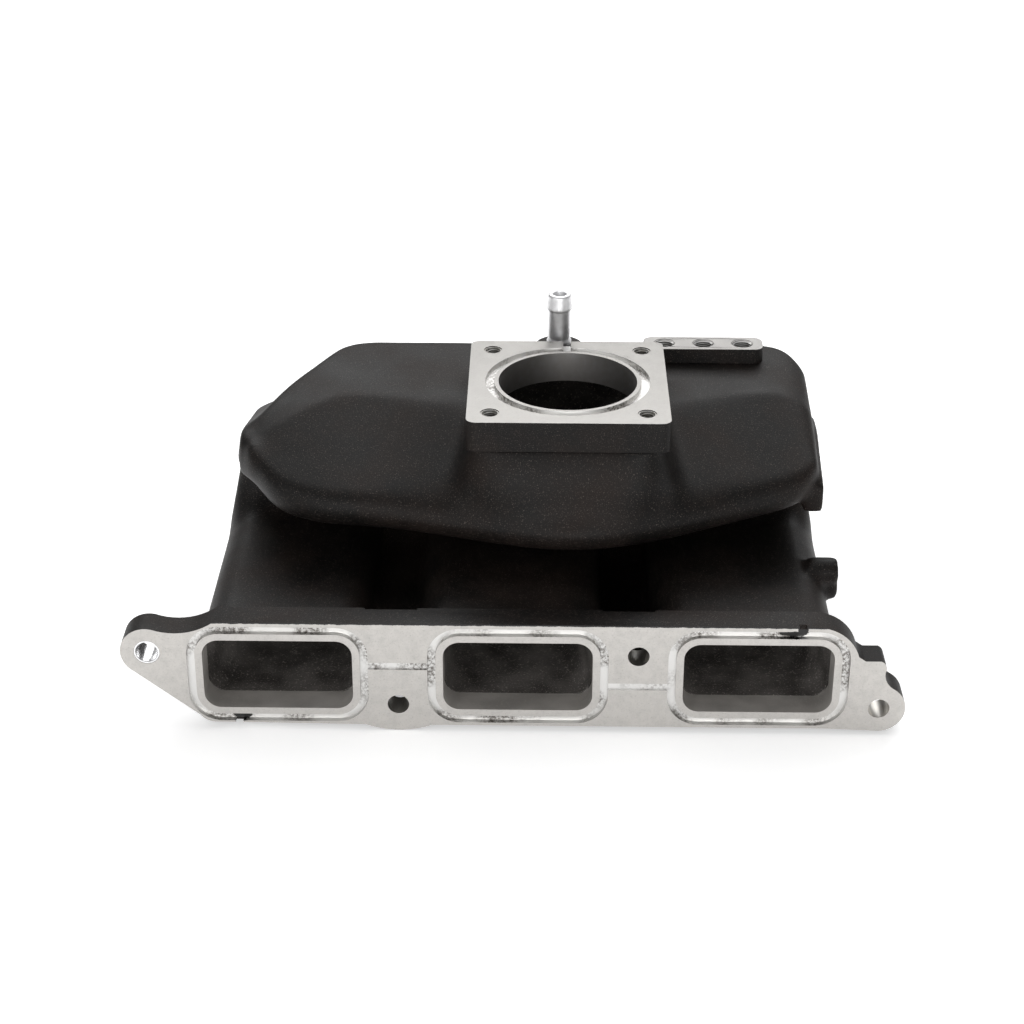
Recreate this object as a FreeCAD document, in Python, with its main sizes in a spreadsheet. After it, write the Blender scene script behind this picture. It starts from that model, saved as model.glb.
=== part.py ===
import FreeCAD, Part
import math
import os
import Sketcher

# Three-port intake manifold. X runs along the port row, Y from the cylinder head back
# into the manifold, Z up. The origin is the centre of the middle port on the gasket face.

SIZES = {
    # head flange
    "portPitch": 100.0,
    "portWidth": 62.3,
    "portHeight": 32.6,
    "portCorner": 7.0,
    "landWidth": 3.1,
    "grooveWidth": 3.4,
    "grooveDepth": 2.4,
    "bridgeHeight": 3.3,
    "bridgeDepth": 0.8,
    "bridgeLift": 4.5,
    "tabWidth": 3.2,
    "tabLength": 11.0,
    "tabAcross": 17.2,
    "tabLift": 6.0,
    "flangeThick": 13.0,
    "flangeTop": 25.0,
    "flangeBottom": 24.2,
    "flangeEnd": 31.5,
    "boltHole": 9.0,
    "boltRowTop": 10.3,
    "boltRowBottom": 14.0,
    "boltReachLeft": 54.0,
    "boltReachRight": 51.0,
    "earRadius": 11.1,
    "spotRadius": 11.0,
    "spotDepth": 0.6,
    "nickDepth": 1.2,
    "sleeveWall": 1.0,
    # runners
    "runnerRun": 84.0,
    "runnerRise": 3.0,
    "runnerCrown": 21.0,
    "runnerKeel": 23.0,
    "runnerCorner": 14.0,
    "portWall": 2.05,
    "runnerShoulder": 5.5,
    "valleyWidth": 21.5,
    "valleyShiftLeft": 3.0,
    "valleyShiftRight": 4.0,
    "passageWidth": 52.0,
    "passageHeight": 31.0,
    "passageNeck": 39.0,
    "passageShiftLeft": 2.3,
    "passageShiftRight": 3.0,
    "shoulderDrop": 8.0,
    "riserLap": 3.0,
    "mouthReach": 8.0,
    "webThick": 8.0,
    "webLeft": 1.5,
    "webRight": -5.0,
    # plenum
    "plenumTop": 81.0,
    "plenumWall": 4.5,
    "plenumSplit": 41.0,
    "plenumRound": 9.5,
    # throttle flange
    "throttleSide": 86.0,
    "throttleThick": 13.5,
    "throttleRise": 13.0,
    "throttleCorner": 4.0,
    "throttleAcross": 20.3,
    "throttleAhead": 43.8,
    "throttleBore": 60.0,
    "throttleLand": 1.9,
    "sealWidth": 3.8,
    "sealDepth": 2.4,
    "ventWidth": 3.4,
    "throttleSquare": 66.2,
    "insertOuter": 8.0,
    "insertThread": 5.2,
    "insertSet": 0.3,
    "neckInset": 2.5,
    "neckDepth": 33.0,
    "neckFlare": 17.0,
    # vacuum rail
    "railLength": 54.3,
    "railDepth": 14.1,
    "railHeight": 6.6,
    "seatSink": 1.0,
    "railCorner": 4.5,
    "railAcross": 82.7,
    "railBehind": 13.5,
    "railPitch": 17.8,
    "railTap": 8.6,
    "railTapDepth": 7.0,
    "railChamfer": 0.4,
    "railFeed": 4.0,
    # hose barb and its boss
    "bossAcross": 16.8,
    "bossBehind": 11.0,
    "bossRadius": 10.75,
    "bossHeight": 6.6,
    "barbBore": 3.1,
    "barbNeck": 5.0,
    "barbSwell": 5.85,
    "barbTip": 5.2,
    "barbLength": 31.4,
    "barbSwellDrop": 7.5,
    "barbSwellLength": 1.6,
    "barbCollar": 0.6,
    "barbCollarLength": 2.5,
    "barbSpigot": 4.0,
    # side pad and bracket boss
    "padSet": 0.6,
    "padRoot": 9.0,
    "padAhead": 59.0,
    "padSlope": 34.0,
    "padLength": 46.0,
    "padBottom": 38.0,
    "padFrontTop": 51.0,
    "padBackTop": 63.0,
    "bracketReach": 5.8,
    "bracketRoot": 8.0,
    "bracketBack": 60.0,
    "bracketUpper": 18.2,
    "bracketLower": 9.6,
    "bracketUpperRadius": 6.2,
    "bracketLowerRadius": 4.8,
    "bracketTap": 5.0,
    "bracketTapDepth": 8.0,
}

doc = FreeCAD.newDocument("IntakeManifold")
sheet = doc.addObject("Spreadsheet::Sheet", "Sizes")
for rowNumber, (alias, value) in enumerate(SIZES.items(), start=1):
    sheet.set(f"A{rowNumber}", alias)
    sheet.set(f"B{rowNumber}", str(value))
    sheet.setAlias(f"B{rowNumber}", alias)
doc.recompute()

V = FreeCAD.Vector


def size(expression):
    """Value in millimetres of a cell or of an expression on the sheet."""
    return float(sheet.evalExpression(expression))


# Places that follow from the sizes, as expressions on the sheet.
turn = "(Sizes.flangeThick + Sizes.runnerRun + Sizes.plenumSplit - Sizes.runnerRise)"
flangeHalf = "(Sizes.portPitch + Sizes.flangeEnd)"
boltOuterLeft = "(Sizes.portPitch + Sizes.boltReachLeft)"
boltOuterRight = "(Sizes.portPitch + Sizes.boltReachRight)"
runnerOuter = "(Sizes.portPitch + Sizes.portWidth / 2 + Sizes.portWall)"
valleyLeft = "(Sizes.portPitch / 2 + Sizes.valleyShiftLeft)"
valleyRight = "(Sizes.portPitch / 2 - Sizes.valleyShiftRight)"
taperEnd = "(Sizes.flangeThick + Sizes.passageNeck)"
throttleFace = "(Sizes.plenumTop + Sizes.throttleRise)"
throttleBack = f"({turn} - Sizes.throttleAhead)"
railBack = f"({turn} + Sizes.railBehind)"
bossBack = f"({turn} + Sizes.bossBehind)"
barbTop = "(Sizes.plenumTop + Sizes.barbLength)"
padFace = f"({runnerOuter} - Sizes.padSet)"
padFront = f"({turn} - Sizes.padAhead)"


def newBody(label):
    body = doc.addObject("PartDesign::Body", label)
    body.Label = label
    return body


def sketchOn(body, name, plane, offset="0"):
    """Sketch on one of the body's own origin planes, moved along its normal by an expression."""
    sketch = body.newObject("Sketcher::SketchObject", name)
    feature = [f for f in body.Origin.OriginFeatures if f.Role == plane][0]
    sketch.AttachmentSupport = [(feature, "")]
    sketch.MapMode = "FlatFace"
    sketch.setExpression(".AttachmentOffset.Base.z", offset)
    return sketch


def bind(sketch, constraint, name, expression):
    index = sketch.addConstraint(constraint)
    sketch.renameConstraint(index, name)
    sketch.setExpression(f"Constraints.{name}", expression)


def addCircle(sketch, name, x, y, radius):
    """Circle whose centre and radius follow three expressions on the sheet."""
    centre = V(size(x), size(y), 0)
    edge = sketch.addGeometry(Part.Circle(centre, V(0, 0, 1), size(radius)), False)
    bind(sketch, Sketcher.Constraint("Radius", edge, size(radius)), f"{name}Radius", radius)
    bind(sketch, Sketcher.Constraint("DistanceX", -1, 1, edge, 3, centre.x), f"{name}Across", x)
    bind(sketch, Sketcher.Constraint("DistanceY", -1, 1, edge, 3, centre.y), f"{name}Up", y)



def addRounded(sketch, name, x, y, width, height, radius):
    """Rounded rectangle about a centre, every size and place following the sheet."""
    cx, cy = size(x), size(y)
    halfWidth, halfHeight, r = size(width) / 2, size(height) / 2, size(radius)
    corners = [(1, -1, -90), (1, 1, 0), (-1, 1, 90), (-1, -1, 180)]
    arcs = []
    for sideX, sideY, start in corners:
        centre = V(cx + sideX * (halfWidth - r), cy + sideY * (halfHeight - r), 0)
        circle = Part.Circle(centre, V(0, 0, 1), r)
        arc = Part.ArcOfCircle(circle, math.radians(start), math.radians(start + 90))
        arcs.append(sketch.addGeometry(arc, False))
    lines = []
    for here, after in zip(arcs, arcs[1:] + arcs[:1]):
        start = sketch.getPoint(here, 2)
        end = sketch.getPoint(after, 1)
        line = sketch.addGeometry(Part.LineSegment(start, end), False)
        sketch.addConstraint(Sketcher.Constraint("Tangent", here, 2, line, 1))
        sketch.addConstraint(Sketcher.Constraint("Tangent", line, 2, after, 1))
        lines.append(line)
    right, top, left, bottom = lines
    for line in (right, left):
        sketch.addConstraint(Sketcher.Constraint("Vertical", line))
    sketch.addConstraint(Sketcher.Constraint("Horizontal", top))
    for arc in arcs[1:]:
        sketch.addConstraint(Sketcher.Constraint("Equal", arcs[0], arc))
    bind(sketch, Sketcher.Constraint("Radius", arcs[0], r), f"{name}Radius", radius)
    for label, line, kind, value, expression in (
        ("Right", right, "DistanceX", cx + halfWidth, f"{x} + ({width}) / 2"),
        ("Left", left, "DistanceX", cx - halfWidth, f"{x} - ({width}) / 2"),
        ("Top", top, "DistanceY", cy + halfHeight, f"{y} + ({height}) / 2"),
        ("Bottom", bottom, "DistanceY", cy - halfHeight, f"{y} - ({height}) / 2"),
    ):
        bind(sketch, Sketcher.Constraint(kind, -1, 1, line, 1, value), f"{name}{label}", expression)


def addOutline(sketch, points):
    """Closed outline of straight runs, and an arc wherever a point gives one to pass through."""
    edges = []
    for (start, through), (end, _) in zip(points, points[1:] + points[:1]):
        a, b = V(*start, 0), V(*end, 0)
        if through:
            edges.append(Part.Arc(a, V(*through, 0), b))
        else:
            edges.append(Part.LineSegment(a, b))
    indices = [sketch.addGeometry(edge, False) for edge in edges]
    for here, after in zip(indices, indices[1:] + indices[:1]):
        joinEnds(sketch, here, after)


def joinEnds(sketch, first, second):
    """Coincidence between whichever two ends of the two edges meet."""
    for endA in (1, 2):
        for endB in (1, 2):
            if (sketch.getPoint(first, endA) - sketch.getPoint(second, endB)).Length < 1e-6:
                sketch.addConstraint(Sketcher.Constraint("Coincident", first, endA, second, endB))
                return


def pad(body, sketch, name, length, reverse=False):
    feature = body.newObject("PartDesign::Pad", name)
    feature.Profile = sketch
    feature.setExpression("Length", length)
    feature.Reversed = reverse
    doc.recompute()
    return feature


def pocket(body, sketch, name, depth=None, reverse=False):
    """Cut of a given depth, or right through both ways when no depth is given."""
    feature = body.newObject("PartDesign::Pocket", name)
    feature.Profile = sketch
    if depth:
        feature.setExpression("Length", depth)
        feature.Reversed = reverse
    else:
        feature.Type = 1
        feature.Midplane = True
    before = feature.BaseFeature.Shape.Volume
    doc.recompute()
    if feature.Shape.Volume >= before - 1e-3:
        raise RuntimeError(f"{body.Label}: {name} cuts nothing")
    return feature


# Head-flange bolts, as (across, up) expressions. The upper pair and the lower pair each
# share a height, so the four stand in two rows.
boltPlaces = {
    "ear": (f"-{boltOuterLeft}", "Sizes.boltRowTop"),
    "leftValley": ("-Sizes.portPitch / 2", "-Sizes.boltRowBottom"),
    "rightValley": ("Sizes.portPitch / 2", "Sizes.boltRowTop"),
    "farEar": (boltOuterRight, "-Sizes.boltRowBottom"),
}
portPlaces = {"Left": "-Sizes.portPitch", "Middle": "0", "Right": "Sizes.portPitch"}
landGrow = "2 * Sizes.landWidth"
grooveGrow = "2 * (Sizes.landWidth + Sizes.grooveWidth)"


def flangeOutline():
    """Gasket-face outline: a straight bar with an ear at each end and a bulge under one bolt."""
    top, bottom = size("flangeTop"), -size("flangeBottom")
    half, ear = size(flangeHalf), size("earRadius")
    leftX, leftZ = -size(boltOuterLeft), size("boltRowTop")
    rightX, rightZ = size(boltOuterRight), -size("boltRowBottom")
    innerX = -size("Sizes.portPitch / 2")

    def rim(x, z, degrees):
        angle = math.radians(degrees)
        return (x + ear * math.cos(angle), z + ear * math.sin(angle))

    return [
        ((-half + 6, top), None),
        ((half - 8, top), (half + 4, top - 5)),
        ((rightX - 10, rightZ + 25), None),
        ((rightX - 7, rightZ + 23), None),
        ((rightX - 0.5, rightZ + 23), (rightX + 1.2, rightZ + 21.6)),
        ((rightX + 1.5, rightZ + 17.5), (rightX + 2, rightZ + 14)),
        (rim(rightX, rightZ, 58), rim(rightX, rightZ, -15)),
        (rim(rightX, rightZ, -88), None),
        ((half - 2, bottom), None),
        ((innerX + 14, bottom), (innerX, bottom - 2.6)),
        ((innerX - 14, bottom), None),
        ((-half + 5, bottom + 0.6), (-half + 1.5, bottom + 1.2)),
        ((-half - 2, bottom + 4), None),
        (rim(leftX, leftZ, -122), rim(leftX, leftZ, 165)),
        (rim(leftX, leftZ, 78), (leftX + 13, leftZ + 9.2)),
    ]


def addHeadFlange():
    body = newBody("head_flange")
    outline = sketchOn(body, "FlangeOutline", "XZ_Plane")
    addOutline(outline, flangeOutline())
    pad(body, outline, "FlangePlate", "Sizes.flangeThick", reverse=True)

    grooves = sketchOn(body, "GasketGrooves", "XZ_Plane")
    for name, across in portPlaces.items():
        for ring, grow in (("Land", landGrow), ("Groove", grooveGrow)):
            addRounded(
                grooves,
                f"{name}{ring}",
                across,
                "0",
                f"Sizes.portWidth + {grow}",
                f"Sizes.portHeight + {grow}",
                f"Sizes.portCorner + ({grow}) / 2",
            )
    pocket(body, grooves, "GasketGroove", "Sizes.grooveDepth")

    ports = sketchOn(body, "PortOpenings", "XZ_Plane")
    for name, across in portPlaces.items():
        addRounded(
            ports, name, across, "0", "Sizes.portWidth", "Sizes.portHeight", "Sizes.portCorner"
        )
    pocket(body, ports, "Ports")

    bridges = sketchOn(body, "GasketBridges", "XZ_Plane")
    gap = "Sizes.portPitch - Sizes.portWidth - 2 * Sizes.landWidth - Sizes.grooveWidth"
    for name, side in (("Left", "-1"), ("Right", "1")):
        addRounded(
            bridges,
            name,
            f"{side} * Sizes.portPitch / 2",
            f"{side} * -Sizes.bridgeLift",
            gap,
            "Sizes.bridgeHeight",
            "Sizes.bridgeHeight / 4",
        )
    pocket(body, bridges, "GasketBridge", "Sizes.bridgeDepth")

    tabs = sketchOn(body, "GasketTabs", "XZ_Plane")
    for name, side in (("Left", "-1"), ("Right", "1")):
        addRounded(
            tabs,
            name,
            f"{side} * (Sizes.portPitch + Sizes.tabAcross)",
            f"{side} * (Sizes.portHeight / 2 + Sizes.landWidth + Sizes.tabLift)",
            "Sizes.tabWidth",
            "Sizes.tabLength",
            "Sizes.tabWidth / 8",
        )
    pocket(body, tabs, "GasketTab", "Sizes.grooveDepth")

    holes = sketchOn(body, "BoltHoles", "XZ_Plane")
    for name, (across, up) in boltPlaces.items():
        wall = " + Sizes.sleeveWall" if name == "ear" else ""
        addCircle(holes, name, across, up, f"Sizes.boltHole / 2{wall}")
    pocket(body, holes, "BoltHole")

    spots = sketchOn(body, "SpotFaces", "XZ_Plane", "-Sizes.flangeThick")
    for name in ("leftValley", "rightValley"):
        across, up = boltPlaces[name]
        addCircle(spots, name, across, up, "Sizes.spotRadius")
    pocket(body, spots, "SpotFace", "Sizes.spotDepth", reverse=True)

    # The cutter that makes the spot faces also nicks the flange's rear top edge.
    nicks = sketchOn(body, "EdgeNicks", "XZ_Plane", "-Sizes.flangeThick")
    for name, centre in (("Left", f"-{valleyLeft}"), ("Right", valleyRight)):
        addRounded(
            nicks,
            name,
            centre,
            "Sizes.flangeTop",
            "2 * Sizes.spotRadius",
            "2 * Sizes.nickDepth",
            "Sizes.nickDepth / 4",
        )
    pocket(body, nicks, "EdgeNick", "Sizes.nickDepth", reverse=True)
    return body


runners = {
    # label: (outer side from, outer side to, passage centre), all across
    "runner_left": (
        f"-{runnerOuter}",
        f"-{valleyLeft} - Sizes.valleyWidth / 2",
        "-Sizes.portPitch",
        "-Sizes.portPitch + Sizes.passageShiftLeft",
    ),
    "runner_middle": (
        f"-{valleyLeft} + Sizes.valleyWidth / 2",
        f"{valleyRight} - Sizes.valleyWidth / 2",
        "0",
        f"-{valleyLeft} / 2 + {valleyRight} / 2",
    ),
    "runner_right": (
        f"{valleyRight} + Sizes.valleyWidth / 2",
        runnerOuter,
        "Sizes.portPitch",
        "Sizes.portPitch - Sizes.passageShiftRight",
    ),
}


def runnerSpine(body, name, start):
    """Side view of a runner's path: straight back, then a bend up into the plenum."""
    spine = sketchOn(body, name, "YZ_Plane")
    run = size("flangeThick + runnerRun")
    radius = size("plenumSplit - runnerRise")
    top = size("plenumSplit + riserLap")
    middle = math.radians(45)
    straight = spine.addGeometry(Part.LineSegment(V(size(start), 0, 0), V(run, 0, 0)), False)
    bend = spine.addGeometry(
        Part.Arc(
            V(run, 0, 0),
            V(run + radius * math.sin(middle), radius - radius * math.cos(middle), 0),
            V(run + radius, radius, 0),
        ),
        False,
    )
    rise = spine.addGeometry(
        Part.LineSegment(V(run + radius, radius, 0), V(run + radius, top, 0)), False
    )
    joinEnds(spine, straight, bend)
    joinEnds(spine, bend, rise)
    return spine


def addRunner(label, plenum):
    """Cast runner: a rounded box section swept along the path, bored by a tapering passage."""
    low, high, mouth, centre = runners[label]
    body = newBody(f"{label}_body")
    outside = sketchOn(body, f"{label}Outside", "XZ_Plane", "-Sizes.flangeThick")
    addRounded(
        outside,
        "Outside",
        f"({low} + {high}) / 2",
        "(Sizes.runnerCrown - Sizes.runnerKeel) / 2",
        f"({high}) - ({low})",
        "Sizes.runnerCrown + Sizes.runnerKeel",
        "Sizes.runnerCorner",
    )
    path = runnerSpine(body, f"{label}Path", "flangeThick")
    tube = body.newObject("PartDesign::AdditivePipe", f"{label}Tube")
    tube.Profile = outside
    tube.Spine = path
    doc.recompute()

    inside = sketchOn(body, f"{label}Inside", "XZ_Plane", f"-{taperEnd}")
    addRounded(
        inside,
        "Inside",
        centre,
        "0",
        "Sizes.passageWidth",
        "Sizes.passageHeight",
        "Sizes.portCorner",
    )
    innerPath = runnerSpine(body, f"{label}InnerPath", taperEnd)
    bore = body.newObject("PartDesign::SubtractivePipe", f"{label}Bore")
    bore.Profile = inside
    bore.Spine = innerPath
    doc.recompute()

    entry = sketchOn(body, f"{label}Entry", "XZ_Plane", "-Sizes.flangeThick")
    addRounded(
        entry, "Entry", mouth, "0", "Sizes.portWidth", "Sizes.portHeight", "Sizes.portCorner"
    )
    taper = body.newObject("PartDesign::SubtractiveLoft", f"{label}Taper")
    taper.Profile = entry
    taper.Sections = [inside]
    doc.recompute()

    # Both outer flanks lean in towards the narrower plenum above them.
    shoulders = sketchOn(body, f"{label}Shoulders", "XZ_Plane", f"-{taperEnd}")
    outer, top = size(runnerOuter), size("plenumSplit + riserLap")
    low, clear = size("runnerCrown - shoulderDrop"), 5.0
    lean = size("runnerShoulder / (plenumSplit - runnerCrown + shoulderDrop)")
    for side in (-1, 1):
        addOutline(
            shoulders,
            [
                ((side * (outer + clear), low), None),
                ((side * outer, low), None),
                ((side * (outer - lean * (top + 1 - low)), top + 1), None),
                ((side * (outer + clear), top + 1), None),
            ],
        )
    if label != "runner_middle":
        pocket(body, shoulders, f"{label}Shoulder", "4 * Sizes.runnerRun")

    cut = doc.addObject("Part::Cut", label)
    cut.Base = body
    cut.Tool = plenum
    cut.Label = label
    return cut


# Plenum sections along the port row. Each holds its place in port pitches from the middle,
# how much it is tucked in, and the centres of the four circles it is wrapped around: nose,
# crown, back and foot. Centres are (back, up): back of the turn of the runners, and up from
# the split for the nose and the foot, and from the top for the crown and the back.
plenumStations = [
    (-1.265, 6, (-31, 9), (-29, -30), (-21, -31), (3, 5)),
    (-1.245, 3, (-37, 12), (-36, -26), (-28, -26.5), (8, 4.5)),
    (-1.215, 1, (-44, 15), (-41, -22.5), (-33, -23), (13, 4)),
    (-1.17, 0, (-50, 16), (-43, -23.5), (-32, -21), (17, 3.5)),
    (-1.1, 0, (-58.5, 12.5), (-40, -20), (-23, -16.5), (22, 3.5)),
    (-1.02, 0, (-66, 10), (-36, -16.5), (-11, -13), (24, 3.5)),
    (-0.92, 0, (-70, 8.5), (-30, -13.5), (4, -10.5), (24, 3.5)),
    (-0.8, 0, (-72.2, 7.5), (-24, -12), (20, -9), (24, 3.5)),
    (-0.66, 0, (-73.2, 7), (-23, -12), (24, -9), (24, 3.5)),
    (-0.48, 0, (-75, 6.2), (-27, -12), (24, -9), (24, 3.5)),
    (-0.22, 0, (-79.8, 4.6), (-31.5, -12), (24, -9), (24, 3.5)),
    (0.05, 0, (-85, 3.5), (-34, -12), (24, -9), (24, 3.5)),
    (0.24, 0, (-86.6, 3.5), (-34, -12), (24, -9), (24, 3.5)),
    (0.44, 0, (-83.5, 3.8), (-33, -12), (24, -9), (24, 3.5)),
    (0.66, 0, (-77, 5), (-29, -12), (24, -9), (24, 3.5)),
    (0.9, 0, (-68, 7), (-21, -12), (24, -9), (24, 3.5)),
    (1.08, 0, (-61, 8.6), (-17.5, -12), (24, -9), (24, 3.5)),
    (1.18, 0, (-57.5, 10.2), (-18, -13), (21.5, -9.5), (22, 3.5)),
    (1.24, 1, (-55, 12), (-20, -14.5), (17, -10.5), (17, 3.5)),
    (1.28, 3, (-52, 14), (-22, -16), (12, -11.5), (12, 3.5)),
    (1.302, 6.5, (-51, 15), (-23, -17), (10, -12), (10, 3.5)),
]


def wrappedSection(x, centres, radius):
    """Closed wire in the plane across X: a four-sided outline rounded about its corners."""
    points = [V(x, *centre) for centre in centres]
    tangents = []
    for here, after in zip(points, points[1:] + points[:1]):
        along = (after - here).normalize()
        outward = V(0, along.z, -along.y) * radius
        tangents.append((here + outward, after + outward))
    edges = []
    for index, centre in enumerate(points):
        arrive = tangents[index - 1][1]
        leave = tangents[index][0]
        middle = (arrive + leave) * 0.5 - centre
        through = centre + middle * (radius / middle.Length)
        edges.append(Part.Arc(arrive, through, leave).toShape())
        edges.append(Part.LineSegment(*tangents[index]).toShape())
    return Part.Wire(edges)


def plenumLoft(inset):
    """Smooth body through every station, drawn in by the inset on all sides."""
    pitch, bend = size("portPitch"), size(turn)
    top, split = size("plenumTop"), size("plenumSplit")
    left, right = pitch * plenumStations[0][0], pitch * plenumStations[-1][0]
    wires = []
    for pitches, tuck, *centres in plenumStations:
        place = min(max(pitches * pitch, left + inset), right - inset)
        levels = (split, top, top, split)
        nose, crown, back, foot = [(bend + y, z + up) for (y, up), z in zip(centres, levels)]
        radius = size("plenumRound") - inset - tuck * (1 - inset / size("plenumRound"))
        wires.append(wrappedSection(place, (nose, foot, back, crown), radius))
    return Part.makeLoft(wires, True, False)


def roundedWire(x, y, z, width, depth, radius):
    """Level rounded rectangle, as a wire centred on a point."""
    plate = Part.makePlane(width, depth, V(x - width / 2, y - depth / 2, z))
    block = plate.extrude(V(0, 0, 1))
    upright = [e for e in block.Edges if abs(e.tangentAt(0).z) > 0.99]
    rounded = block.makeFillet(radius, upright)
    bottom = [f for f in rounded.Faces if abs(f.CenterOfMass.z - z) < 1e-6][0]
    return bottom.OuterWire


def neckLoft(inset):
    """Flared neck that carries the throttle flange and melts into the front of the plenum."""
    across, back = size("throttleAcross"), size(throttleBack)
    top = size(f"{throttleFace} - throttleThick")
    side = size("throttleSide - 2 * neckInset")
    drop, flare = size("neckDepth"), size("neckFlare")
    levels = [
        # height, width, depth, shift back, corner radius
        (top + 0.001 * (inset > 0), side, side, 0.0, 8.0),
        (top - 0.4 * drop, side + 0.6 * flare, side + 6, -2.5, 16.0),
        (top - drop, side + 2 * flare, side + 8, -1.0, 42.0),
    ]
    wires = []
    for z, width, depth, shift, radius in levels:
        corner = min(radius + 3 * inset, (depth - 2 * inset) / 2 - 1)
        wires.append(
            roundedWire(across, back + shift, z, width - 2 * inset, depth - 2 * inset, corner)
        )
    return Part.makeLoft(wires, True, False)


def feature(label, shape):
    """Document object for a shape made by Part's own functions, placed after its shape."""
    item = doc.addObject("Part::Feature", label)
    item.Label = label
    item.Shape = shape
    item.Placement = FreeCAD.Placement()
    return item


def addPlenum():
    """Free-form halves of the plenum, split level just above the floor."""
    outer = plenumLoft(0).fuse(neckLoft(0))
    inner = plenumLoft(size("plenumWall")).fuse(neckLoft(size("plenumWall")))
    skin = feature("plenum_skin", outer.removeSplitter())
    across, back = size("throttleAcross"), size(throttleBack)
    throat = Part.makeCylinder(
        size("throttleBore / 2 + throttleLand"), size("plenumTop"), V(across, back, 50)
    )
    shell = outer.cut(inner).cut(throat)
    for place in range(-1, 2):
        x = size("railAcross") + place * size("railPitch")
        shell = shell.cut(Part.makeCylinder(size("railFeed") / 2, 20, V(x, size(railBack), 70)))
        tapEnd = V(x, size(railBack), size("plenumTop + railHeight - railTapDepth"))
        shell = shell.cut(Part.makeCylinder(size("railTap") / 2, size("railTapDepth"), tapEnd))
    barbHole = Part.makeCylinder(size("barbSpigot"), 20, V(size("bossAcross"), size(bossBack), 70))
    shell = shell.cut(barbHole)
    for _, _, _, centre in runners.values():
        mouth = roundedWire(
            size(centre), size(turn), 0, size("passageWidth"), size("passageHeight"), size("portCorner")
        )
        shell = shell.cut(Part.Face(mouth).extrude(V(0, 0, size("plenumSplit + mouthReach"))))
    below = Part.makeBox(600, 600, size("plenumSplit") + 100, V(-300, -200, -100))
    feature("plenum_shell", shell.cut(below))
    feature("plenum_floor", shell.common(below))
    return skin


def addWeb(label, centre, up, plenum):
    """Cast web across one valley, clear of the bolt there, that follows the runners up."""
    body = newBody(f"{label}_body")
    section = sketchOn(body, f"{label}Section", "XZ_Plane", "-Sizes.flangeThick")
    addRounded(
        section, "Web", centre, up, "Sizes.valleyWidth", "Sizes.webThick", "Sizes.webThick / 8"
    )
    sweep = body.newObject("PartDesign::AdditivePipe", f"{label}Sweep")
    sweep.Profile = section
    sweep.Spine = runnerSpine(body, f"{label}Path", "flangeThick")
    doc.recompute()
    return cutAway(label, body, [plenum])


throttleCorners = {
    "FrontLeft": (-1, -1),
    "FrontRight": (1, -1),
    "BackLeft": (-1, 1),
    "BackRight": (1, 1),
}


def addThrottleFlange():
    body = newBody("throttle_flange")
    level = f"{throttleFace} - Sizes.throttleThick"
    plate = sketchOn(body, "ThrottlePlate", "XY_Plane", level)
    centre = ("Sizes.throttleAcross", throttleBack)
    square = ("Sizes.throttleSide", "Sizes.throttleSide", "Sizes.throttleCorner")
    addRounded(plate, "Plate", *centre, *square)
    pad(body, plate, "ThrottlePlatePad", "Sizes.throttleThick")

    groove = sketchOn(body, "SealRing", "XY_Plane", throttleFace)
    addCircle(groove, "Land", *centre, "Sizes.throttleBore / 2 + Sizes.throttleLand")
    addCircle(
        groove, "Seal", *centre, "Sizes.throttleBore / 2 + Sizes.throttleLand + Sizes.sealWidth"
    )
    pocket(body, groove, "SealGroove", "Sizes.sealDepth")

    vent = sketchOn(body, "Vent", "XY_Plane", throttleFace)
    inner = "Sizes.throttleBore / 2 + Sizes.throttleLand + Sizes.sealWidth / 2"
    addRounded(
        vent,
        "Vent",
        "Sizes.throttleAcross",
        f"{throttleBack} + ({inner} + Sizes.throttleSide / 2 + 2) / 2",
        "Sizes.ventWidth",
        f"Sizes.throttleSide / 2 + 2 - ({inner})",
        "Sizes.ventWidth / 8",
    )
    pocket(body, vent, "VentSlot", "Sizes.sealDepth")

    holes = sketchOn(body, "ThrottleHoles", "XY_Plane", throttleFace)
    addCircle(holes, "Bore", *centre, "Sizes.throttleBore / 2")
    for name, (sideX, sideY) in throttleCorners.items():
        addCircle(
            holes,
            name,
            f"Sizes.throttleAcross + {sideX} * Sizes.throttleSquare / 2",
            f"{throttleBack} + {sideY} * Sizes.throttleSquare / 2",
            "Sizes.insertOuter / 2",
        )
    pocket(body, holes, "ThrottleHole")
    return body


def addTube(label, name, x, y, bottom, outer, inner, length):
    """Upright tube from two parametric cylinders."""
    parts = []
    for kind, radius in (("Wall", outer), ("Bore", inner)):
        cylinder = doc.addObject("Part::Cylinder", f"{label}{name}{kind}")
        cylinder.setExpression("Radius", radius)
        cylinder.setExpression("Height", length)
        cylinder.setExpression("Placement.Base.x", x)
        cylinder.setExpression("Placement.Base.y", y)
        cylinder.setExpression("Placement.Base.z", bottom)
        parts.append(cylinder)
    tube = doc.addObject("Part::Cut", f"{label}{name}")
    tube.Base, tube.Tool = parts
    return tube


def addThreadInserts():
    tubes = []
    for name, (sideX, sideY) in throttleCorners.items():
        tubes.append(
            addTube(
                "Insert",
                name,
                f"Sizes.throttleAcross + {sideX} * Sizes.throttleSquare / 2",
                f"{throttleBack} + {sideY} * Sizes.throttleSquare / 2",
                f"{throttleFace} - Sizes.throttleThick",
                "Sizes.insertOuter / 2",
                "Sizes.insertThread / 2",
                "Sizes.throttleThick - Sizes.insertSet",
            )
        )
    group = doc.addObject("Part::Compound", "throttle_thread_inserts")
    group.Links = tubes
    group.Label = "throttle_thread_inserts"
    return group


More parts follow.
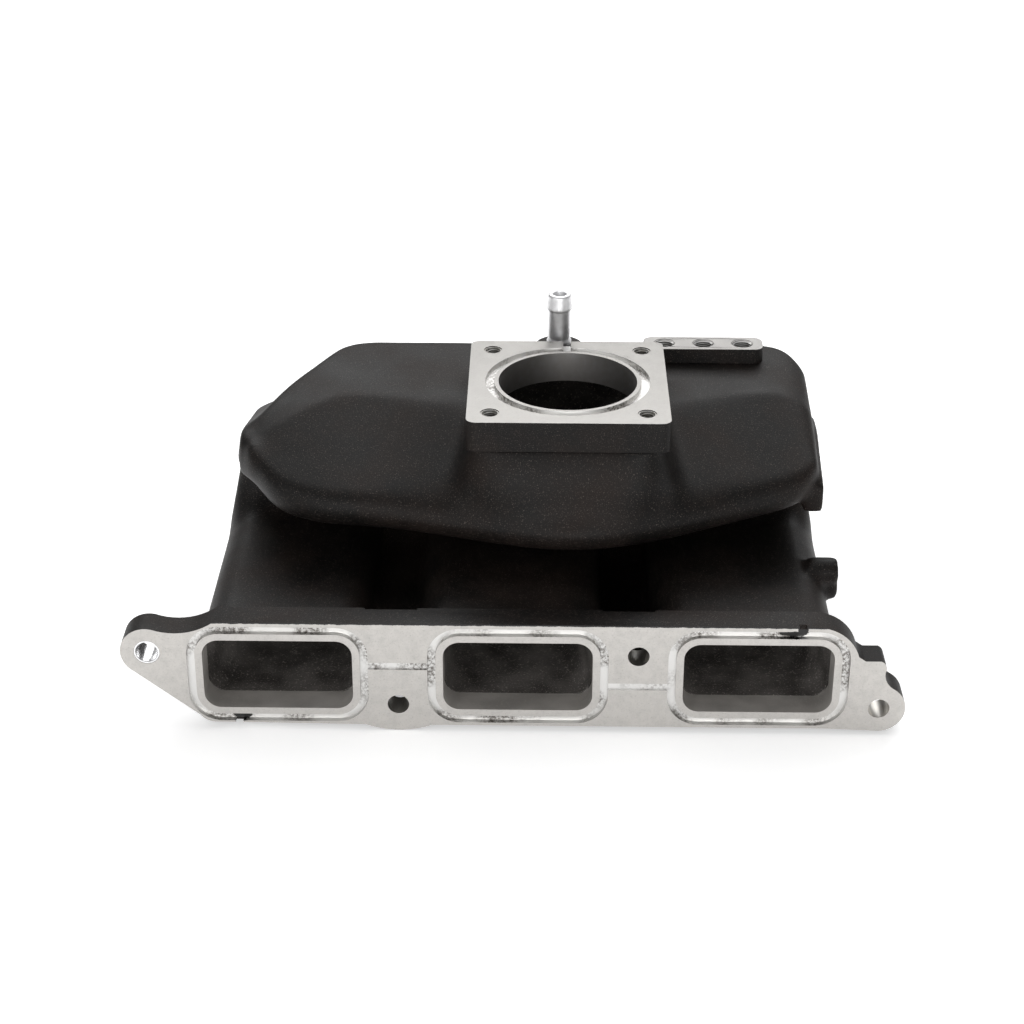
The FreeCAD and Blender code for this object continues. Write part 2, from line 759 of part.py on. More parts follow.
def addVacuumRail():
    body = newBody("vacuum_rail_body")
    bar = sketchOn(body, "RailOutline", "XY_Plane", "Sizes.plenumTop - Sizes.seatSink")
    addRounded(
        bar,
        "Rail",
        "Sizes.railAcross",
        railBack,
        "Sizes.railLength",
        "Sizes.railDepth",
        "Sizes.railCorner",
    )
    pad(body, bar, "RailBar", "Sizes.railHeight + Sizes.seatSink")
    for name, radius, depth in (
        ("Tap", "Sizes.railTap / 2", None),
        ("Mouth", "Sizes.railTap / 2 + Sizes.railChamfer", "Sizes.railChamfer"),
    ):
        ports = sketchOn(body, f"Rail{name}", "XY_Plane", "Sizes.plenumTop + Sizes.railHeight")
        for place in (-1, 0, 1):
            addCircle(
                ports,
                f"{name}{place + 2}",
                f"Sizes.railAcross + {place} * Sizes.railPitch",
                railBack,
                radius,
            )
        pocket(body, ports, f"Rail{name}Cut", depth)
    return body


def addBarbBoss():
    body = newBody("barb_boss_body")
    disc = sketchOn(body, "BossDisc", "XY_Plane", "Sizes.plenumTop - Sizes.seatSink")
    addCircle(disc, "Boss", "Sizes.bossAcross", bossBack, "Sizes.bossRadius")
    addCircle(disc, "Seat", "Sizes.bossAcross", bossBack, "Sizes.barbSpigot")
    pad(body, disc, "BossPad", "Sizes.bossHeight + Sizes.seatSink")
    return body


def addHoseBarb():
    """Turned barb: a spigot in the boss, a neck, a swell that grips the hose and a blunt tip."""
    body = newBody("hose_barb")
    profile = sketchOn(body, "BarbProfile", "XZ_Plane", f"-{bossBack}")
    x, bore = size("bossAcross"), size("barbBore")
    seat, bottom = size("plenumTop + bossHeight"), size("plenumTop")
    top, swell = size(barbTop), size(f"{barbTop} - barbSwellDrop")
    neck, tip, grip = size("barbNeck"), size("barbTip"), size("barbSwell")
    collar, collarTop = size("barbCollar"), size("barbCollarLength")
    outline = [
        (bore, bottom),
        (size("barbSpigot"), bottom),
        (size("barbSpigot"), seat),
        (neck + collar, seat),
        (neck + collar, seat + collarTop),
        (neck, seat + collarTop + 1.0),
        (neck, swell),
        (grip, swell),
        (grip, swell + size("barbSwellLength")),
        (tip, top - 1.0),
        (tip - 0.8, top),
        (bore, top),
    ]
    addOutline(profile, [((x + radius, z), None) for radius, z in outline])
    axis = profile.addGeometry(Part.LineSegment(V(x, bottom, 0), V(x, top, 0)), True)
    turned = body.newObject("PartDesign::Revolution", "BarbTurned")
    turned.Profile = profile
    turned.ReferenceAxis = (profile, ["Axis0"])
    turned.Angle = 360
    doc.recompute()
    return body


def addSidePad():
    body = newBody("side_pad_body")
    front, length = size(padFront), size("padLength")
    section = sketchOn(body, "PadSection", "YZ_Plane", f"{padFace} - Sizes.padRoot")
    addOutline(
        section,
        [
            ((front, size("padBottom")), None),
            ((front + length, size("padBottom")), None),
            ((front + length, size("padBackTop")), None),
            ((front + size("padSlope"), size("padBackTop")), None),
            ((front, size("padFrontTop")), None),
        ],
    )
    pad(body, section, "PadBlock", "Sizes.padRoot")
    return body


def addBracketBoss():
    body = newBody("bracket_boss_body")
    reach = f"{runnerOuter} - Sizes.bracketRoot"
    section = sketchOn(body, "BossLobes", "YZ_Plane", reach)
    addCircle(
        section, "Upper", "Sizes.bracketBack", "Sizes.bracketUpper", "Sizes.bracketUpperRadius"
    )
    pad(body, section, "UpperLobe", "Sizes.bracketRoot + Sizes.bracketReach")
    lower = sketchOn(body, "LowerLobe", "YZ_Plane", reach)
    addCircle(
        lower, "Lower", "Sizes.bracketBack", "Sizes.bracketLower", "Sizes.bracketLowerRadius"
    )
    pad(body, lower, "LowerLobePad", "Sizes.bracketRoot + Sizes.bracketReach")
    tap = sketchOn(body, "BossTap", "YZ_Plane", f"{runnerOuter} + Sizes.bracketReach")
    addCircle(tap, "Tap", "Sizes.bracketBack", "Sizes.bracketUpper", "Sizes.bracketTap / 2")
    pocket(body, tap, "BossThread", "Sizes.bracketTapDepth")
    return body


def cutAway(label, base, tools):
    """The base less whatever it stands against, under the node's own name."""
    result = base
    for number, tool in enumerate(tools, start=1):
        cut = doc.addObject("Part::Cut", label if number == len(tools) else f"{label}_{number}")
        cut.Base = result
        cut.Tool = tool
        result = cut
    result.Label = label
    return result


def addLocatingSleeve():
    """Thin sleeve pressed through the left ear."""
    body = newBody("locating_sleeve")
    ring = sketchOn(body, "SleeveRing", "XZ_Plane")
    across, up = boltPlaces["ear"]
    addCircle(ring, "Outer", across, up, "Sizes.boltHole / 2 + Sizes.sleeveWall")
    addCircle(ring, "Inner", across, up, "Sizes.boltHole / 2")
    pad(body, ring, "Sleeve", "Sizes.flangeThick", reverse=True)
    return body


skin = addPlenum()
doc.recompute()
nodes = [doc.getObject("plenum_shell"), doc.getObject("plenum_floor")]
nodes.append(addHeadFlange())
nodes.append(addLocatingSleeve())
for label in runners:
    nodes.append(addRunner(label, skin))
doc.recompute()
nodes.append(addWeb("valley_web_left", f"-{valleyLeft}", "Sizes.webLeft", skin))
nodes.append(addWeb("valley_web_right", valleyRight, "Sizes.webRight", skin))
nodes.append(addThrottleFlange())
nodes.append(addThreadInserts())
nodes.append(cutAway("vacuum_rail", addVacuumRail(), [skin]))
nodes.append(cutAway("barb_boss", addBarbBoss(), [skin]))
nodes.append(addHoseBarb())
rightRunner = doc.getObject("runner_right_body")
nodes.append(cutAway("side_pad", addSidePad(), [skin, rightRunner]))
nodes.append(cutAway("bracket_boss", addBracketBoss(), [rightRunner]))
doc.recompute()

for item in doc.Objects:
    if "Invalid" in item.State or "Error" in item.State:
        raise RuntimeError(f"{item.Label} failed: {item.State}")
for node in nodes:
    if node.Shape.isNull() or not node.Shape.isValid():
        raise RuntimeError(f"{node.Label} has no valid shape")

os.makedirs("parts", exist_ok=True)
for node in nodes:
    node.Shape.exportStep(f"parts/{node.Label}.step")
    print(node.Label, round(node.Shape.Volume), len(node.Shape.Solids))
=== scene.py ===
import bpy
import bmesh
import math
from mathutils import Matrix, Vector


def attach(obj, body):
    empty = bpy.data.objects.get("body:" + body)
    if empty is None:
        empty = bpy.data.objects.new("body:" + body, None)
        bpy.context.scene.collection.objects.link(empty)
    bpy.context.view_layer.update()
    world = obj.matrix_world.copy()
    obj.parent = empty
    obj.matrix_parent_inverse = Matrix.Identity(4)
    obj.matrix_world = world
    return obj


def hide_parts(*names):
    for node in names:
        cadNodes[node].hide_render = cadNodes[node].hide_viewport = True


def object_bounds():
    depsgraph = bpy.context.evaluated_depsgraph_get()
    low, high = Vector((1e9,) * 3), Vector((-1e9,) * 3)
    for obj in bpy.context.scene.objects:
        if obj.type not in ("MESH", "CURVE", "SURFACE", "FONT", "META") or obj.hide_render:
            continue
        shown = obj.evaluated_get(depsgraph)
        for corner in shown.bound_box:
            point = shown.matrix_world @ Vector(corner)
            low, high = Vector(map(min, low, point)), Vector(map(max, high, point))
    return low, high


# three-port intake manifold: dictionaries and finish tests are in millimetres, the scene in metres

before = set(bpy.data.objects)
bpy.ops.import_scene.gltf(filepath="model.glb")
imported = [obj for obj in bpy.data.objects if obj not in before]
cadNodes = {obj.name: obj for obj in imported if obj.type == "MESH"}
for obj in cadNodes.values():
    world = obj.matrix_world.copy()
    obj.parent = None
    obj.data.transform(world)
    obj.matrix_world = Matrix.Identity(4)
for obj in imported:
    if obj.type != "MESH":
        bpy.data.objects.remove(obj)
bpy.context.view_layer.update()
mm = 0.001
print("frame loaded")


# small tools

def linearColor(hexText):
    # sRGB hex to the linear values that shaders take
    channels = [int(hexText[i:i + 2], 16) / 255 for i in (1, 3, 5)]
    curve = [c / 12.92 if c <= 0.04045 else ((c + 0.055) / 1.055) ** 2.4 for c in channels]
    return (*curve, 1.0)


def addNode(material, kind, settings=None, **links):
    # settings go to sockets by name or number where there is one, otherwise to the node itself
    node = material.node_tree.nodes.new(kind)
    for key, value in (settings or {}).items():
        if isinstance(key, int) or key in node.inputs:
            node.inputs[key].default_value = value
        else:
            setattr(node, key, value)
    for key, socket in links.items():
        target = node.inputs[int(key[1:])] if key[0] == "n" and key[1:].isdigit() else node.inputs[key]
        material.node_tree.links.new(socket, target)
    return node


def newMaterial(name):
    material = bpy.data.materials.new(name)
    material.use_nodes = True
    material.node_tree.nodes.clear()
    return material


def finishMaterial(material, settings, **links):
    shader = addNode(material, "ShaderNodeBsdfPrincipled", settings)
    for key, socket in links.items():
        material.node_tree.links.new(socket, shader.inputs[key.replace("_", " ")])
    out = addNode(material, "ShaderNodeOutputMaterial")
    material.node_tree.links.new(shader.outputs[0], out.inputs["Surface"])
    return material


def perMetre(sizeInMm):
    # texture scale that repeats about once in this many millimetres
    return 1000.0 / sizeInMm


def ringsPerMetre(sizeInMm):
    # wave texture scale whose bands are this many millimetres apart
    return math.tau / 20 * 1000.0 / sizeInMm


def objectPlace(material):
    return addNode(material, "ShaderNodeTexCoord").outputs["Object"]


def noise(material, at, sizeInMm, detail, roughness=0.5):
    settings = {"Scale": perMetre(sizeInMm), "Detail": detail, "Roughness": roughness}
    return addNode(material, "ShaderNodeTexNoise", settings, Vector=at).outputs["Fac"]


def ramp(material, value, low, high, start, end):
    # start at or below low, end at or above high
    settings = {1: low, 2: high, 3: start, 4: end}
    return addNode(material, "ShaderNodeMapRange", settings, n0=value).outputs[0]


def mathOf(material, operation, first, second):
    # the second term is a socket or a plain number
    if isinstance(second, float):
        return addNode(material, "ShaderNodeMath", {"operation": operation, 1: second}, n0=first).outputs[0]
    return addNode(material, "ShaderNodeMath", {"operation": operation}, n0=first, n1=second).outputs[0]


def mixColour(material, share, first, second):
    # each colour is a hex text or a socket; a share of 1 shows the second
    colours = {6: first, 7: second}
    plain = {number: linearColor(c) for number, c in colours.items() if isinstance(c, str)}
    linked = {f"n{number}": c for number, c in colours.items() if not isinstance(c, str)}
    return addNode(material, "ShaderNodeMix", {"data_type": "RGBA", **plain}, n0=share, **linked).outputs[2]


def relief(material, height, strength, depthInMm):
    settings = {"Strength": strength, "Distance": depthInMm * mm}
    return addNode(material, "ShaderNodeBump", settings, Height=height).outputs[0]


# finishes

coat = {"black": "#0c0a09", "worn": "#221a16", "fleck": "#6e655f", "roughness": 0.51, "gloss": 0.19,
        "grainMm": 1.1, "sandMm": 0.45, "patchMm": 38, "grainDepthMm": 0.09, "grainStrength": 0.55}


def powderCoatedCasting():
    # matt black powder coat over sand-cast aluminium: the sand's grain shows through as a fine
    # orange peel, handling leaves browner worn patches, and dust sits in the pores as flecks
    material = newMaterial("powderCoatedCasting")
    at = objectPlace(material)
    sand = noise(material, at, coat["sandMm"], 2.0)
    grain = noise(material, at, coat["grainMm"], 4.0, 0.62)
    patches = noise(material, at, coat["patchMm"], 5.0, 0.6)
    wornPart = ramp(material, patches, 0.42, 0.72, 0.0, 0.9)
    fleckPart = ramp(material, sand, 0.6, 0.72, 0.0, 0.45)
    worn = mixColour(material, wornPart, coat["black"], coat["worn"])
    flecked = mixColour(material, fleckPart, worn, coat["fleck"])
    rough = ramp(material, patches, 0.3, 0.7, coat["roughness"] - 0.06, coat["roughness"] + 0.1)
    height = mathOf(material, "ADD", grain, sand)
    return finishMaterial(material, {"Specular IOR Level": coat["gloss"]}, Base_Color=flecked,
                          Roughness=rough,
                          Normal=relief(material, height, coat["grainStrength"], coat["grainDepthMm"]))


# centre, stretch and reach of each blot
residue = (((117.2, 0, 24.0), (1, 0, 0.6), 2.2), ((113.6, 0, 21.2), (0.3, 0, 1), 1.9),
           ((-117.2, 0, -24.0), (1, 0, 0.6), 1.4), ((-116, 0, -21.4), (0.4, 0, 1), 1.6))


def withoutResidue(material, at, haze):
    # black sealant left where the gasket's tabs sat: 0 on the ragged blots, 1 on clean metal
    nearest = None
    for centre, stretch, reach in residue:
        moved = addNode(material, "ShaderNodeMapping",
                        {"Location": [-c * k * mm for c, k in zip(centre, stretch)], "Scale": stretch},
                        Vector=at)
        away = addNode(material, "ShaderNodeVectorMath", {"operation": "LENGTH"}, Vector=moved.outputs[0])
        share = mathOf(material, "MULTIPLY", away.outputs["Value"], 1 / (reach * mm))
        nearest = share if nearest is None else mathOf(material, "MINIMUM", nearest, share)
    return mathOf(material, "GREATER_THAN", mathOf(material, "ADD", nearest, haze), 1.5)


# front, top and rail are tones of one face-milled aluminium, each set for how bright its face looks under the
# lights: painted light and shade, with the throttle face and the rail painted darker than the gasket face
milled = {"front": "#bfbcb8", "top": "#9b9996", "rail": "#a09e9c", "grey": "#a9a7a4", "speck": "#8e8b87",
          "roughness": 0.33, "passMm": 1.3, "smearMm": 5, "speckMm": 0.8, "edgeMm": 24.35, "raggedMm": 1.5,
          "markDepthMm": 0.03}


def milledAluminium(name, axis, centre, bright, coatEdge=False):
    # face-milled aluminium: the cutter's arcs leave fine curved lines, the metal's grain shows as
    # pale and grey specks, and a cast edge keeps a ragged rim of the black coat
    material = newMaterial(name)
    at = objectPlace(material)
    moved = addNode(material, "ShaderNodeMapping", {"Location": [-c * mm for c in centre]}, Vector=at)
    arcs = addNode(material, "ShaderNodeTexWave",
                   {"wave_type": "RINGS", "rings_direction": axis, "Scale": ringsPerMetre(milled["passMm"]),
                    "Distortion": 1.2, "Detail": 3.0, "Detail Scale": 2.0}, Vector=moved.outputs[0])
    haze = noise(material, at, milled["smearMm"], 6.0, 0.78)
    specks = noise(material, at, milled["speckMm"], 3.0, 0.7)
    smeared = mixColour(material, ramp(material, haze, 0.42, 0.68, 0.0, 0.6), bright, milled["grey"])
    specked = mixColour(material, ramp(material, specks, 0.56, 0.7, 0.0, 0.55), smeared, milled["speck"])
    rough = ramp(material, haze, 0.25, 0.75, milled["roughness"] - 0.08, milled["roughness"] + 0.14)
    height = addNode(material, "ShaderNodeMath", {"operation": "MULTIPLY_ADD", 1: 0.9}, n0=specks,
                     n2=arcs.outputs["Fac"])
    marks = relief(material, height.outputs[0], 0.3, milled["markDepthMm"])
    if not coatEdge:
        return finishMaterial(material, {"Metallic": 1.0}, Base_Color=specked, Roughness=rough, Normal=marks)
    up = addNode(material, "ShaderNodeSeparateXYZ", Vector=at).outputs["Z"]
    rag = addNode(material, "ShaderNodeMath", {"operation": "MULTIPLY_ADD", 1: milled["raggedMm"] * mm},
                  n0=haze, n2=up)
    bare = mathOf(material, "LESS_THAN", rag.outputs[0], (milled["edgeMm"] + milled["raggedMm"] / 2) * mm)
    clean = mathOf(material, "MULTIPLY", bare, withoutResidue(material, at, haze))
    return finishMaterial(material, {}, Base_Color=mixColour(material, clean, coat["black"], specked),
                          Metallic=clean, Roughness=rough, Normal=marks)


groove = {"light": "#d8d7d5", "dark": "#76726e", "roughness": 0.38, "chatterMm": 1.3, "patchMm": 16,
          "chatterDepthMm": 0.08}


def endMilledGroove():
    # end-milled gasket groove: bright runs, with patches of dark chatter where the cutter turned
    material = newMaterial("endMilledGroove")
    at = objectPlace(material)
    chatter = noise(material, at, groove["chatterMm"], 3.0, 0.7)
    patches = noise(material, at, groove["patchMm"], 1.0)
    where = ramp(material, patches, 0.45, 0.62, 0.0, 1.0)
    speck = ramp(material, chatter, 0.42, 0.6, 0.1, 1.0)
    cut = mixColour(material, mathOf(material, "MULTIPLY", where, speck), groove["light"], groove["dark"])
    clean = withoutResidue(material, at, chatter)
    return finishMaterial(material, {"Roughness": groove["roughness"]},
                          Base_Color=mixColour(material, clean, coat["black"], cut), Metallic=clean,
                          Normal=relief(material, chatter, 0.5, groove["chatterDepthMm"]))


# the entry colours are a lighter copy of the passage greys, used at the port mouths: painted light where
# light reaches into the ports
throat = {"grey": "#75716e", "dark": "#2e2b29", "entryLitGrey": "#bcb8b3", "entryLitDark": "#96928e",
          "pale": "#b8b3ac", "roughness": 0.46, "metallic": 0.2, "pitMm": 0.9, "sootMm": 16,
          "pitDepthMm": 0.12}


def bareCastThroat(name, grey, dark):
    # bare sand-cast aluminium inside the passages: dull grey, pitted, with overspray and pale pits
    material = newMaterial(name)
    at = objectPlace(material)
    pits = noise(material, at, throat["pitMm"], 4.0, 0.7)
    soot = noise(material, at, throat["sootMm"], 4.0)
    sooty = mixColour(material, ramp(material, soot, 0.35, 0.65, 0.0, 0.8), grey, dark)
    pitted = mixColour(material, ramp(material, pits, 0.57, 0.66, 0.0, 0.9), sooty, throat["pale"])
    return finishMaterial(material, {"Metallic": throat["metallic"], "Roughness": throat["roughness"]},
                          Base_Color=pitted, Normal=relief(material, pits, 0.7, throat["pitDepthMm"]))


turned = {"bright": "#f0f0f1", "shade": "#c4c4c5", "roughness": 0.44, "sleeveRoughness": 0.26, "ringMm": 0.5,
          "hazeMm": 3, "ringDepthMm": 0.02}


def turnedMetal(name, axisName, bright, roughness):
    # lathe-turned or bored metal: tool marks ring the axis, so highlights run along it
    material = newMaterial(name)
    at = objectPlace(material)
    rings = addNode(material, "ShaderNodeTexWave",
                    {"wave_type": "BANDS", "bands_direction": axisName,
                     "Scale": ringsPerMetre(turned["ringMm"]), "Distortion": 0.3}, Vector=at)
    haze = noise(material, at, turned["hazeMm"], 4.0)
    colour = mixColour(material, ramp(material, haze, 0.4, 0.75, 0.0, 0.5), bright, turned["shade"])
    return finishMaterial(material, {"Metallic": 1.0, "Roughness": roughness}, Base_Color=colour,
                          Normal=relief(material, rings.outputs["Fac"], 0.3, turned["ringDepthMm"]))


drilled = {"wall": "#c6c3bd", "roughness": 0.42}
thread = {"insert": "#85827c", "rail": "#b9b8b6", "roughness": 0.36}
bored = {"wall": "#b5b2af", "roughness": 0.42}

black = powderCoatedCasting()
frontMilled = milledAluminium("faceMilledGasketFace", "Y", (40, 0, -260), milled["front"], coatEdge=True)
# the throttle face and the rail take darker tones of the same milled metal: painted shade
topMilledPaintedShade = milledAluminium("faceMilledThrottleFacePaintedShade", "Z", (120, 260, 94), milled["top"])
railMilledPaintedShade = milledAluminium("faceMilledRailPaintedShade", "Z", (82, 400, 90), milled["rail"])
grooveFloor = endMilledGroove()
castInside = bareCastThroat("bareCastThroat", throat["grey"], throat["dark"])
# a lighter copy of the same cast finish for the port mouths: painted light
portEntryPaintedLight = bareCastThroat("paintedLightPortEntry", throat["entryLitGrey"], throat["entryLitDark"])
drilledWall = turnedMetal("drilledAluminium", "Y", drilled["wall"], drilled["roughness"])
boredWall = turnedMetal("finishBoredThroat", "Z", bored["wall"], bored["roughness"])
turnedSteel = turnedMetal("turnedBarbSteel", "Z", turned["bright"], turned["roughness"])
sleeveSteel = turnedMetal("turnedSleeveSteel", "Y", turned["bright"], turned["sleeveRoughness"])
insertSteel = turnedMetal("cutThreadSteel", "Z", thread["insert"], thread["roughness"])
railThread = turnedMetal("cutThreadAluminium", "Z", thread["rail"], thread["roughness"])
print("finishes made")


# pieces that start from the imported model

def weldedMesh(names):
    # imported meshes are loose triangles, so their doubles are merged into one closed surface each
    work = bmesh.new()
    for name in names:
        work.from_mesh(cadNodes[name].data)
    bmesh.ops.remove_doubles(work, verts=work.verts, dist=0.002 * mm)
    return work


def placeMesh(work, name):
    mesh = bpy.data.meshes.new(name)
    work.to_mesh(mesh)
    work.free()
    piece = bpy.data.objects.new(name, mesh)
    bpy.context.scene.collection.objects.link(piece)
    return piece


def settle(piece):
    # applies the live modifiers, so faces can be given their finish
    graph = bpy.context.evaluated_depsgraph_get()
    finished = bpy.data.meshes.new_from_object(piece.evaluated_get(graph))
    piece.modifiers.clear()
    piece.data = finished


def dress(piece, finishes, choose):
    # choose(centre, normal) gives the finish of a face, both in millimetres
    piece.data.materials.clear()
    for finish in finishes:
        piece.data.materials.append(finish)
    for face in piece.data.polygons:
        face.material_index = choose(face.center / mm, face.normal)


def hand(piece, slot, *nodes):
    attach(piece, "root")
    if nodes:
        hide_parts(*nodes)


casting = {"runnerVoxelMm": 1.6, "plenumVoxelMm": 1.5, "bossVoxelMm": 0.5, "softenTimes": 7,
           "bossSoftenTimes": 4, "softenBy": 0.5, "blendTimes": 140, "waveMm": 0.22, "waveSizeMm": 24,
           "waveMiddle": 0.7}


def castPiece(name, nodes, voxelMm, softenTimes, softZone=None, cutBack=None):
    # a sand mould leaves no sharp corner: the joined walls are remeshed, rounded and slightly wavy
    piece = placeMesh(weldedMesh(nodes), name)
    remesh = piece.modifiers.new("mould", "REMESH")
    remesh.mode = "VOXEL"
    remesh.voxel_size = voxelMm * mm
    settle(piece)
    soften = piece.modifiers.new("rounded", "SMOOTH")
    soften.factor = casting["softenBy"]
    soften.iterations = softenTimes
    if softZone:
        group = piece.vertex_groups.new(name="softZone")
        for point in piece.data.vertices:
            share = softZone(point.co / mm)
            if share > 0:
                group.add([point.index], share, "REPLACE")
        blend = piece.modifiers.new("blended", "SMOOTH")
        blend.factor = casting["softenBy"]
        blend.iterations = casting["blendTimes"]
        blend.vertex_group = "softZone"
    texture = bpy.data.textures.new(f"{name}Wave", "CLOUDS")
    texture.noise_scale = casting["waveSizeMm"] * mm
    wave = piece.modifiers.new("wave", "DISPLACE")
    wave.texture = texture
    wave.texture_coords = "LOCAL"
    wave.strength = casting["waveMm"] * mm
    wave.mid_level = casting["waveMiddle"]
    settle(piece)
    if cutBack:
        trim = bmesh.new()
        trim.from_mesh(piece.data)
        bmesh.ops.bisect_plane(trim, geom=trim.verts[:] + trim.edges[:] + trim.faces[:], dist=1e-7,
                               plane_co=(0, cutBack * mm, 0), plane_no=(0, -1, 0), clear_outer=True)
        rim = [edge for edge in trim.edges if edge.is_boundary]
        bmesh.ops.triangle_fill(trim, edges=rim, use_beauty=True, normal=(0, -1, 0))
        trim.to_mesh(piece.data)
        trim.free()
    for face in piece.data.polygons:
        face.use_smooth = True
    return piece


passage = {"centres": (-97.7, -3.5, 97.0), "mouths": (-100.0, 0.0, 100.0), "half": 26.0, "mouthHalf": 31.15,
           "low": 15.5, "mouthLow": 16.3, "taperFrom": 13.0, "taperTo": 52.0, "bendFrom": 97.0,
           "bendRadius": 38.0, "slack": 0.95}


def inPassage(centre, normal):
    # follows the runners' passages, taper, straight run, bend and rise, for faces that look inwards
    p = passage
    if centre.y > p["bendFrom"] and centre.z < p["bendRadius"]:
        away = math.hypot(centre.y - p["bendFrom"], p["bendRadius"] - centre.z) - p["bendRadius"]
    elif centre.y > p["bendFrom"]:
        away = centre.y - p["bendFrom"] - p["bendRadius"]
    else:
        away = centre.z
    along = min(max((centre.y - p["taperFrom"]) / (p["taperTo"] - p["taperFrom"]), 0), 1)
    half = p["mouthHalf"] + along * (p["half"] - p["mouthHalf"]) + p["slack"]
    low = p["mouthLow"] + along * (p["low"] - p["mouthLow"]) + p["slack"]
    middles = [m + along * (c - m) for m, c in zip(p["mouths"], p["centres"])]
    middle = min(middles, key=lambda m: abs(centre.x - m))
    straight = centre.y < p["bendFrom"]
    outward = (centre.x - middle) * normal.x + centre.z * normal.z
    return abs(away) < low and abs(centre.x - middle) < half and not (straight and outward > 0)


runnerBank = castPiece("runnerBank", ["head_flange", "runner_left", "runner_middle", "runner_right",
                                      "valley_web_left", "valley_web_right", "bracket_boss"],
                       casting["runnerVoxelMm"], casting["softenTimes"], cutBack=passage["taperFrom"])
dress(runnerBank, [black, castInside], lambda centre, normal: int(inPassage(centre, normal)))
hand(runnerBank, "black_coat", "runner_left", "runner_middle", "runner_right", "valley_web_left",
     "valley_web_right", "bracket_boss")
print("runner bank cast", len(runnerBank.data.polygons))

throttle = {"edgeMm": 0.35, "axis": (20.3, 91.2), "bore": 30.0, "face": 94.0, "sealFloor": 91.6, "side": 43.0,
            "ventHalf": 3}
chamber = {"fromX": -105.0, "toX": 112.0, "front": (92.0, 56.0), "rear": (148.0, 58.0), "neckFrom": 66.0,
           "neckReach": 46.0, "facing": 0.2, "blendAcross": (60, 85), "blendRise": (46, 54),
           "blendStop": (76.0, 79.5)}


def inChamber(centre, normal):
    # inside walls face the middle of the chamber, or the throttle's axis in the neck
    c = chamber
    ax, ay = throttle["axis"]
    if centre.z > c["neckFrom"] and math.hypot(centre.x - ax, centre.y - ay) < c["neckReach"]:
        return normal.x * (ax - centre.x) + normal.y * (ay - centre.y) > c["facing"]
    front, rear = Vector((0, *c["front"])), Vector((0, *c["rear"]))
    along = rear - front
    share = min(max((Vector((0, centre.y, centre.z)) - front).dot(along) / along.length_squared, 0), 1)
    middle = front + along * share
    middle.x = min(max(centre.x, c["fromX"]), c["toX"])
    return normal.dot(middle - centre) > 0


def neckZone(point):
    # how far the flared neck is blended into the deck and the nose round it
    def fade(value, span):
        return min(max((value - span[0]) / (span[1] - span[0]), 0), 1)

    across = 1 - fade(abs(point.x - throttle["axis"][0]), chamber["blendAcross"])
    return across * fade(point.z, chamber["blendRise"]) * (1 - fade(point.z, chamber["blendStop"]))


plenum = castPiece("plenum", ["plenum_shell", "plenum_floor", "side_pad"], casting["plenumVoxelMm"],
                   casting["softenTimes"], softZone=neckZone)
dress(plenum, [black, castInside], lambda centre, normal: int(inChamber(centre, normal)))
hand(plenum, "black_coat", "plenum_shell", "plenum_floor", "side_pad")
print("plenum cast", len(plenum.data.polygons))

barbBoss = castPiece("barbBoss", ["barb_boss"], casting["bossVoxelMm"], casting["bossSoftenTimes"])
dress(barbBoss, [black], lambda centre, normal: 0)
hand(barbBoss, "black_coat", "barb_boss")

crisp = {"bevelAbove": 40, "sharpAbove": 20, "square": 0.9995}


def crispPiece(name, node, edgeMm, faceAxis):
    # machined piece: the cutter's edges are only broken, so they keep a thin bright line, and
    # the faces square to the cutter's axis stay dead flat
    piece = placeMesh(weldedMesh([node]), name)
    edge = piece.modifiers.new("edgeBreak", "BEVEL")
    edge.width = edgeMm * mm
    edge.segments = 2
    edge.limit_method = "ANGLE"
    edge.angle_limit = math.radians(crisp["bevelAbove"])
    settle(piece)
    piece.data.shade_smooth()
    piece.data.set_sharp_from_angle(angle=math.radians(crisp["sharpAbove"]))
    for face in piece.data.polygons:
        face.use_smooth = abs(face.normal[faceAxis]) < crisp["square"]
    return piece


flange = {"edgeMm": 0.3, "front": 0.4, "entryFrom": 1.2, "floor": 2.4, "spot": 12.4, "thick": 13.0,
          "top": 25.0, "portHalf": (31.15, 16.3), "wallSlack": 0.35, "grooveReach": (50, 24),
          "boltReach": 6.2, "bolts": ((-154, 10.3), (-50, -14), (50, 10.3), (151, -14)),
          "tab": (117.2, 2.0, 19.6), "rearEdge": (11.6, 1.5, 75)}
blackOn, milledOn, grooveOn, insideOn, drilledOn = range(5)


def flangeFinish(centre, normal):
    f = flange
    x, y, z = centre
    nearPort = min(abs(x - p) for p in passage["mouths"])
    atBolt = min(math.hypot(x - bx, z - bz) for bx, bz in f["bolts"]) < f["boltReach"]
    tabX, tabHalf, tabFrom = f["tab"]
    edgeFrom, edgeDrop, edgeHalf = f["rearEdge"]
    if normal.y < -0.6 and y < f["front"]:
        return milledOn
    if any(abs(x - side * tabX) < tabHalf and side * z > tabFrom for side in (-1, 1)):
        return blackOn
    if y > edgeFrom and f["top"] - edgeDrop < z < f["top"] - 0.05 and abs(x) < edgeHalf:
        return milledOn
    if atBolt and 0.3 < y < f["spot"]:
        return drilledOn
    inPort = nearPort < f["portHalf"][0] + f["wallSlack"] and abs(z) < f["portHalf"][1] + f["wallSlack"]
    # port walls behind the machined lip take the lighter copy of the cast finish: painted light at the mouths
    if inPort and abs(normal.y) < 0.9:
        return insideOn if y > f["entryFrom"] else milledOn
    if y < f["floor"] + 0.1 and nearPort < f["grooveReach"][0] and abs(z) < f["grooveReach"][1]:
        return grooveOn
    if f["spot"] - 1.5 < y < f["thick"] - 0.05 and normal.y > 0.6:
        return milledOn
    return blackOn


headFlange = crispPiece("headFlange", "head_flange", flange["edgeMm"], 1)
dress(headFlange, [black, frontMilled, grooveFloor, portEntryPaintedLight, drilledWall], flangeFinish)
hand(headFlange, "machined_aluminium", "head_flange")
print("head flange", len(headFlange.data.polygons))

topOn, sealOn, boredOn = 1, 2, 3


